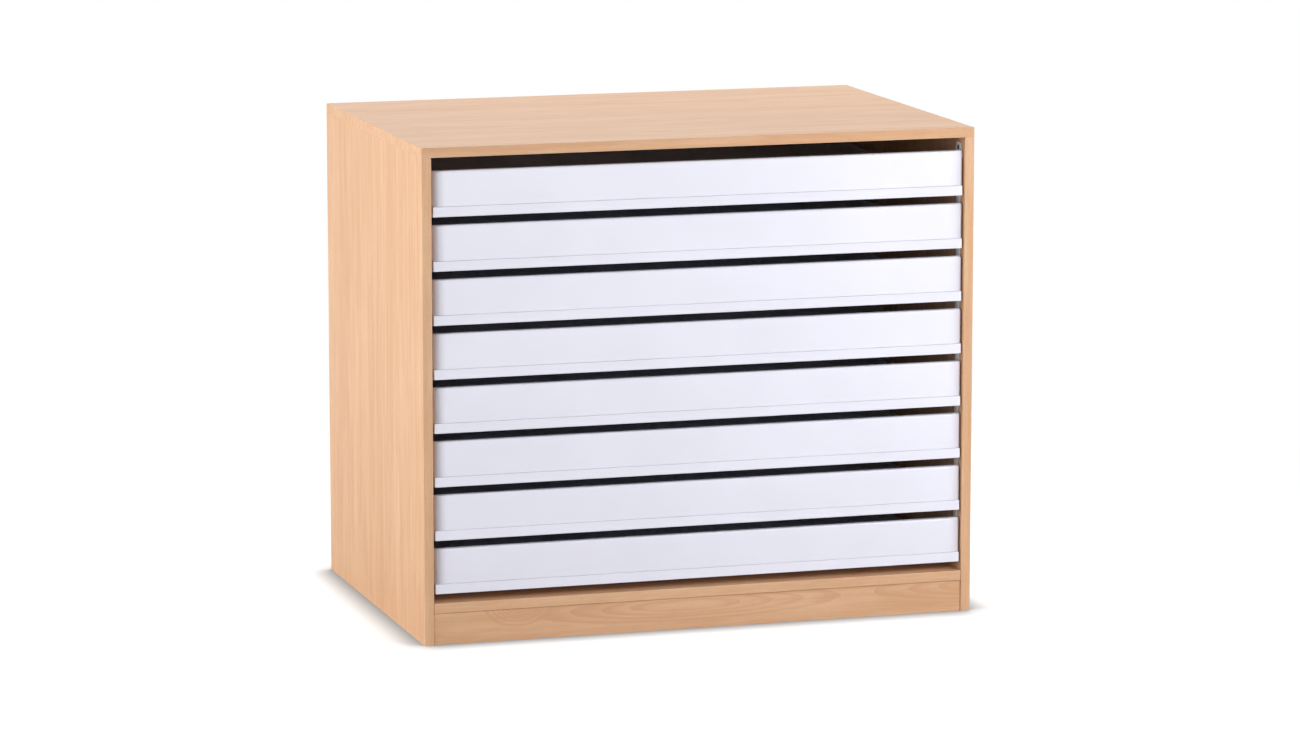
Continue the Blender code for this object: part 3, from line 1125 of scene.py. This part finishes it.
@dataclass
class RunnerRack:
    """One side's runners: two uprights with tapered heads, and a folded channel for each drawer."""

    side: Side
    upright_thickness: float = 0.0015
    upright_half: float = 0.0090
    head_tip_half: float = 0.0095
    head_shoulder_half: float = 0.0190
    head_slope: float = 0.0180
    head_straight: float = 0.0080
    head_neck: float = 0.0160
    sheet: float = 0.0015
    bend: float = 0.0005
    outer_bend_steps: int = 8
    inner_bend_steps: int = 4
    reach: float = 0.0140
    weld: float = 0.0005
    under_drawer: float = 0.0018
    height: float = 0.0233
    lug_length: float = 0.0120
    lug_drop: float = 0.0060
    lug_corner: float = 0.0020
    lug_steps: int = 8
    lug_from_lip: float = 0.0030
    front_gap: float = 0.0015
    hole_diameter: float = 0.0046
    edge_break: float = 0.0003
    edge_steps: int = 2
    finish: Finish = PaintedSteel("grey_powder_paint", Slot.PAINTED_STEEL)

    @property
    def node(self) -> str:
        """The CAD node that the rack stands for."""
        return f"{self.side.label}_runner_rack"

    def build(self) -> None:
        """Build and dress the uprights and the channels."""
        for row in Row:
            upright = Piece.of(f"{self.side.label}_{row.value}_upright", self._upright(row))
            upright.change(self._screw_holes(row), Change.CUT)
            upright.dress(self.finish).settle(CABINET, self.node)
        pattern = self._channel()
        for number in range(1, DRAWER_COUNT + 1):
            shape = pattern.item.data.copy()
            for vert in shape.vertices:
                vert.co.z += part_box(f"drawer_{number}_base")[0].z
            channel = Piece.of(f"{self.side.label}_channel_{number}", shape)
            channel.dress(self.finish).settle(CABINET, self.node)
        bpy.data.objects.remove(pattern.item)

    def _faces(self) -> tuple[float, float]:
        """Give the uprights' faces.

        Returns:
            The X of their outer and of their inner face.
        """
        low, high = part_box(self.node)
        outer = high.x if self.side is Side.RIGHT else low.x
        return outer, outer - self.side.value * self.upright_thickness

    def _upright(self, row: Row) -> bpy.types.Mesh:
        """Build an upright: a strip with a wider, tapered head.

        Args:
            row: The row that it stands in.

        Returns:
            The mesh.
        """
        low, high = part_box(self.node)
        centre = middle_of(screw_node(self.side, row, Level.UPPER)).y
        slope_foot = high.z - self.head_slope
        neck_top = slope_foot - self.head_straight
        half_outline = [
            (self.upright_half, low.z),
            (self.upright_half, neck_top - self.head_neck),
            (self.head_shoulder_half, neck_top),
            (self.head_shoulder_half, slope_foot),
            (self.head_tip_half, high.z),
        ]
        outline = [(centre + half, up) for half, up in half_outline]
        outline += [(centre - half, up) for half, up in reversed(half_outline)]
        solid = Solid.prism(outline, X, *sorted(self._faces()))
        solid.round(lambda edge: True, self.edge_break, self.edge_steps)
        return solid.shape(f"{self.side.label}_{row.value}_upright")

    def _screw_holes(self, row: Row) -> Solid:
        """Make the rods that cut an upright's screw holes.

        Args:
            row: The row that the upright stands in.

        Returns:
            The rods, as one solid.
        """
        outer, inner = self._faces()
        start = outer + self.side.value * OVERCUT
        reach = inner - self.side.value * OVERCUT - start
        rods = Solid()
        for level in Level:
            middle = middle_of(screw_node(self.side, row, level))
            rods.add(Solid.rod((start, middle.y, middle.z), reach, self.hole_diameter))
        return rods

    def _channel(self) -> Piece:
        """Build a channel at the height where a drawer's underside is 0.

        Returns:
            The channel with its closed rear end and its stop lug, as one piece.
        """
        web = self._faces()[1] + self.side.value * self.weld
        foot, top = -self.under_drawer, self.height - self.under_drawer
        outside = self.sheet + self.bend
        lower, upper = (outside, foot + outside), (outside, top - outside)
        section = [(self.reach, foot)]
        section += arc(lower, outside, SOUTH, WEST, self.outer_bend_steps)
        section += arc(upper, outside, WEST, NORTH, self.outer_bend_steps)
        section += [(self.reach, top), (self.reach, top - self.sheet)]
        section += arc(upper, self.bend, NORTH, WEST, self.inner_bend_steps)
        section += arc(lower, self.bend, WEST, SOUTH, self.inner_bend_steps)
        section += [(self.reach, foot + self.sheet)]
        front, rear = self._ends()
        folded = Solid.prism(self._outward(web, section), Y, front, rear)
        channel = Piece.of("channel", folded.shape("channel"))

        tuck = self.sheet - self.weld
        lip = self.reach - self.weld
        plate = [(tuck, foot + tuck), (lip, foot + tuck), (lip, top - tuck), (tuck, top - tuck)]
        plate_rear = rear - self.weld
        extras = Solid.prism(self._outward(web, plate), Y, plate_rear - self.sheet, plate_rear)
        lug_front = front + self.weld
        lug_rear = lug_front + self.lug_length
        shoulder = top - self.sheet - self.lug_drop + self.lug_corner
        near_corner = (lug_front + self.lug_corner, shoulder)
        far_corner = (lug_rear - self.lug_corner, shoulder)
        lug = arc(near_corner, self.lug_corner, WEST, SOUTH, self.lug_steps)
        lug += arc(far_corner, self.lug_corner, SOUTH, ROUND, self.lug_steps)
        lug += [(lug_rear, top - tuck), (lug_front, top - tuck)]
        near = web - self.side.value * (self.reach - self.lug_from_lip)
        far = near + self.side.value * self.sheet
        extras.add(Solid.prism(lug, X, *sorted((near, far))))
        return channel.change(extras, Change.JOIN)

    def _outward(self, web: float, section: Sequence[Flat]) -> list[Flat]:
        """Turn reaches from the channel's web into X."""
        return [(web - self.side.value * reach, up) for reach, up in section]

    def _ends(self) -> tuple[float, float]:
        """Give the channels' ends.

        Returns:
            The Y of their front and of their rear ends.
        """
        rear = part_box(self.node)[1].y
        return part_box("drawer_1_front")[1].y + self.front_gap, rear


@dataclass
class UprightScrews:
    """The screws that hold the uprights: shallow domed heads with a cross recess."""

    head_thickness: float = 0.0012
    head_rim: float = 0.0004
    dome_steps: int = 8
    shank_diameter: float = 0.0040
    cross_length: float = 0.0048
    cross_width: float = 0.0011
    cross_depth: float = 0.0009
    finish: Finish = ZincPlate("dark_zinc", Slot.ZINC_SCREW)

    def build(self) -> None:
        """Build and dress every screw."""
        for side in Side:
            for row in Row:
                for level in Level:
                    self._screw(side, screw_node(side, row, level))

    def _screw(self, side: Side, node: str) -> None:
        """Build one screw.

        Args:
            side: The side that it is driven into.
            node: The CAD node that it stands for.
        """
        low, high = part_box(node)
        middle = (low + high) / 2
        face = low.x if side is Side.RIGHT else high.x
        head = (high.z - low.z) / 2
        shank = self.shank_diameter / 2
        length = high.x - low.x
        dome = self.head_thickness - self.head_rim
        profile = [(0.0, 0.0)]
        for step in range(1, self.dome_steps + 1):
            turn = step / self.dome_steps * math.pi / 2
            profile.append((head * math.sin(turn), dome * (1 - math.cos(turn))))
        profile += [
            (head, self.head_thickness),
            (shank, self.head_thickness),
            (shank, length - shank),
            (0.0, length),
        ]
        centre = (face, middle.y, middle.z)
        screw = Piece.of(f"{node}_zinc", Solid.lathe(centre, side.value, profile).shape(node))
        half, width = self.cross_length / 2, self.cross_width / 2
        arm = [(half, -width), (half, width), (width, width)]
        cross = []
        for _ in range(ROUND):
            cross += [(middle.y + across, middle.z + up) for across, up in arm]
            arm = [(-up, across) for across, up in arm]
        ends = sorted((face - side.value * OVERCUT, face + side.value * self.cross_depth))
        screw.change(Solid.prism(cross, X, *ends), Change.CUT)
        screw.dress(self.finish).settle(CABINET, node)


@dataclass
class Drawer:
    """A white drawer: a base board with two grooves, a front with curved ends, and a back wall."""

    number: int
    base_round: float = 0.0008
    base_steps: int = 3
    groove_from_lip: float = 0.0022
    groove_width: float = 0.0031
    groove_front: float = 0.0172
    groove_rear: float = 0.5305
    groove_floor: float = 0.0132
    end_run: float = 0.0260
    end_depth: float = 0.0070
    end_steps: int = 20
    top_round: float = 0.0040
    top_steps: int = 7
    foot_round: float = 0.0010
    foot_steps: int = 3
    wall_round: float = 0.0030
    wall_steps: int = 5
    wall_break: float = 0.0005
    board: Finish = WhiteDecor(
        "white_edged_board",
        Slot.WHITE_BOARD,
        (0.862, 0.862, 0.960),
        roughness=0.65,
        gloss=0.2,
    )
    face: Finish = WhiteDecor(
        "white_foiled_front",
        Slot.WHITE_FRONT,
        (0.852, 0.852, 0.954),
        roughness=0.30,
        curl_from=0.5005,
        curl_run=0.0270,
        curl_depth=0.0125,
    )
    lining: Finish = WhiteDecor(
        "white_foiled_wall", Slot.WHITE_WALL, (0.800, 0.800, 0.860), roughness=0.45
    )

    @property
    def body(self) -> str:
        """The body that the drawer's pieces ride on."""
        return f"drawer_{self.number}"

    def build(self) -> None:
        """Build and dress the drawer."""
        self._put("base", self._base(), self.board, self._grooves())
        self._put("front", self._front(), self.face)
        self._put("back_wall", self._back_wall(), self.lining)

    def _box(self, part: str) -> tuple[Vector, Vector]:
        """Give the box of one of the drawer's CAD nodes."""
        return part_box(f"{self.body}_{part}")

    def _put(self, part: str, solid: Solid, finish: Finish, cut: Solid | None = None) -> None:
        """Put a part of the drawer into the scene.

        Args:
            part: The part's name.
            solid: Its solid.
            finish: Its finish.
            cut: What is cut out of it, if anything.
        """
        piece = Piece.of(f"{self.body}_{part}_white", solid.shape(f"{self.body}_{part}"))
        if cut:
            piece.change(cut, Change.CUT)
        piece.dress(finish).settle(self.body, f"{self.body}_{part}")

    def _base(self) -> Solid:
        """Build the base board, still without its grooves."""
        low, high = self._box("base")
        return Solid.block(low, high).round(lambda edge: True, self.base_round, self.base_steps)

    def _grooves(self) -> Solid:
        """Make the blocks that cut the base's grooves, in which the channels' stop lugs run.

        Returns:
            The blocks, as one solid.
        """
        low, high = self._box("base")
        blocks = Solid()
        for side in Side:
            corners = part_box(f"{side.label}_runner_rack")
            lip = corners[0].x if side is Side.RIGHT else corners[1].x
            near = lip + side.value * self.groove_from_lip
            first, last = sorted((near, near + side.value * self.groove_width))
            start = (first, low.y + self.groove_front, low.z + self.groove_floor)
            end = (last, low.y + self.groove_rear, high.z + OVERCUT)
            blocks.add(Solid.block(start, end))
        return blocks

    def _front(self) -> Solid:
        """Build the front with its curved ends, soft top edge and small round along the foot.

        Returns:
            The solid.
        """
        low, high = self._box("front")
        run, depth = self.end_run, self.end_depth
        left, right = (low.x + run, low.y + depth), (high.x - run, low.y + depth)
        outline = [(low.x, high.y)]
        outline += arc(left, run, WEST, SOUTH, self.end_steps, depth)
        outline += arc(right, run, SOUTH, ROUND, self.end_steps, depth)
        outline += [(high.x, high.y)]
        solid = Solid.prism(outline, Z, low.z, high.z)
        solid.round(lambda edge: lies_at(edge, Z, high.z), self.top_round, self.top_steps)
        return solid.round(
            lambda edge: lies_at(edge, Z, low.z) and not lies_at(edge, Y, high.y),
            self.foot_round,
            self.foot_steps,
        )

    def _back_wall(self) -> Solid:
        """Build the back wall with round top edges and its lower edges broken.

        Returns:
            The solid.
        """
        low, high = self._box("back_wall")
        solid = Solid.block(low, high)
        solid.round(lambda edge: lies_at(edge, Z, high.z), self.wall_round, self.wall_steps)
        return solid.round(lambda edge: lies_at(edge, Z, low.z), self.wall_break, CHAMFER)


@dataclass(frozen=True)
class Lamp:
    """A soft lamp with a square or oblong face that looks at the cabinet, seen in gloss or not."""

    name: str
    place: Place
    aim: Place
    width: float
    height: float
    power: float
    in_gloss: bool = True

    def build(self) -> None:
        """Put the lamp into the scene."""
        light = bpy.data.lights.new(self.name, "AREA")
        light.shape = "RECTANGLE"
        light.size = self.width
        light.size_y = self.height
        light.energy = self.power
        item = bpy.data.objects.new(self.name, light)
        item.location = self.place
        away = Vector(self.place) - Vector(self.aim)
        item.rotation_euler = away.to_track_quat("Z", "Y").to_euler()
        item.visible_camera = False
        item.visible_glossy = self.in_gloss
        bpy.context.scene.collection.objects.link(item)


@dataclass
class Studio:
    """The camera, the pale floor, the lamps and the world."""

    lens: float = 146.07
    sensor: float = 36.0
    camera_place: Place = (-3.0112, -9.8344, 2.1866)
    camera_turn: float = -17.085
    camera_tilt: float = 9.575
    camera_reach: float = 200.0
    floor_half: float = 60.0
    floor_colour: Colour = (0.57, 0.57, 0.57)
    floor_lift: float = 0.66
    # reach, power and samples of the painted contact shadow: ambient occlusion darkens the floor
    # that the camera sees near the cabinet
    contact_reach: float = 0.064
    contact_power: float = 1.5
    contact_samples: int = 16
    shadow_reach: float = 0.90
    white_from: float = 2.20
    ambient: float = 0.10
    lamps: tuple[Lamp, ...] = (
        Lamp("left_lamp", (-3.63, 0.0, 2.14), (0.0, 0.0, 0.45), 2.0, 2.0, 29.0, in_gloss=False),
        Lamp("far_left_lamp", (-6.0, -0.6, 1.3), (0.0, 0.0, 0.45), 3.0, 2.4, 194.0, in_gloss=False),
        Lamp("low_left_lamp", (-2.9, -1.9, 1.0), (0.0, -0.3, 0.6), 1.2, 1.2, 14.5),
        Lamp("front_lamp", (-0.2, -6.0, 1.15), (0.0, 0.0, 0.60), 2.2, 1.6, 46.5),
        Lamp("right_lamp", (2.5, -2.8, 2.0), (0.0, 0.0, 0.45), 1.6, 1.6, 68.0),
        Lamp("right_strip_lamp", (1.25, -2.3, 0.6), (0.2, -0.37, 0.5), 0.4, 1.2, 2.8),
        Lamp("high_strip_lamp", (1.25, -2.3, 1.2), (0.3, -0.37, 0.8), 0.5, 0.8, 7.6),
        Lamp("rear_lamp", (0.6, 2.45, 3.4), (0.0, 0.0, 0.45), 3.5, 2.5, 103.0),
    )

    def build(self) -> None:
        """Build the studio."""
        bpy.context.scene.view_settings.view_transform = "Standard"
        self._camera()
        self._floor()
        self._world()
        for lamp in self.lamps:
            lamp.build()

    def _camera(self) -> None:
        """Set the camera at the photograph's viewing angle."""
        camera = bpy.data.cameras.new("camera")
        camera.lens = self.lens
        camera.sensor_width = self.sensor
        camera.clip_end = self.camera_reach
        item = bpy.data.objects.new("camera", camera)
        item.location = self.camera_place
        pitch = math.radians(LEVEL_PITCH - self.camera_tilt)
        item.rotation_euler = (pitch, 0.0, math.radians(self.camera_turn))
        bpy.context.scene.collection.objects.link(item)
        bpy.context.scene.camera = item

    @staticmethod
    def _rays(graph: Graph) -> tuple[Signal, Signal]:
        """Tell the rays apart.

        Args:
            graph: The graph that asks.

        Returns:
            Whether a ray comes straight from the camera, and whether it comes from there at all,
            by way of gloss or glass too.
        """
        camera = graph.node("ShaderNodeLightPath", output="Is Camera Ray")
        outputs = camera.socket.node.outputs
        gloss = Signal(graph, outputs["Is Glossy Ray"])
        glass = Signal(graph, outputs["Is Transmission Ray"])
        return camera, camera.most(gloss).most(glass)

    def _floor(self) -> None:
        """Lay a pale floor with the cabinet's real shadow, a painted contact shadow, and white
        further away.
        """
        half = self.floor_half
        shape = bpy.data.meshes.new("floor")
        corners = [(-half, -half, 0), (half, -half, 0), (half, half, 0), (-half, half, 0)]
        shape.from_pydata(corners, [], [(0, 1, 2, 3)])
        floor = bpy.data.objects.new("floor", shape)
        bpy.context.scene.collection.objects.link(floor)
        pale = bpy.data.materials.new("pale_floor")
        pale.use_nodes = True
        graph = Graph(pale.node_tree)
        camera, seen = self._rays(graph)
        matte = graph.node("ShaderNodeBsdfDiffuse", None, {"Color": self.floor_colour})
        lift = graph.glow(self.floor_lift)
        lifted = graph.node("ShaderNodeAddShader", None, {0: matte, 1: lift})
        # painted contact shadow: ambient occlusion darkens the lifted floor that the camera sees
        # near the cabinet's foot, over the matte's real shadow
        settings = {"samples": self.contact_samples}
        inputs = {"Distance": self.contact_reach}
        painted_shadow_open_share = graph.node("ShaderNodeAmbientOcclusion", settings, inputs, "AO")
        shaded = graph.blend(painted_shadow_open_share ** self.contact_power, graph.glow(0.0), lifted)
        near = graph.blend(camera, matte, shaded)
        measure = {"operation": "LENGTH"}
        away = graph.node("ShaderNodeVectorMath", measure, {0: graph.place()}, "Value")
        share = away.rise(self.shadow_reach, self.white_from) * seen
        graph.surface(graph.blend(share, near, graph.glow(1.0)))
        shape.materials.append(pale)

    def _world(self) -> None:
        """Light the cabinet evenly from all round, before a white background."""
        world = bpy.data.worlds.new("studio")
        world.use_nodes = True
        bpy.context.scene.world = world
        graph = Graph(world.node_tree)
        inputs = {"Color": WHITE, "Strength": self.ambient}
        soft = graph.node("ShaderNodeBackground", None, inputs)
        plain = graph.node("ShaderNodeBackground", None, {"Color": WHITE, "Strength": 1.0})
        sky = graph.blend(self._rays(graph)[1], soft, plain)
        graph.node("ShaderNodeOutputWorld", None, {"Surface": sky})


def main() -> None:
    """Build the studio and every piece of the cabinet."""
    logging.basicConfig(level=logging.INFO, format="%(name)s: %(message)s")
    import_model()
    Studio().build()
    Carcase().build()
    for side in Side:
        RunnerRack(side).build()
    UprightScrews().build()
    for number in range(1, DRAWER_COUNT + 1):
        Drawer(number).build()


if __name__ == "__main__":
    main()
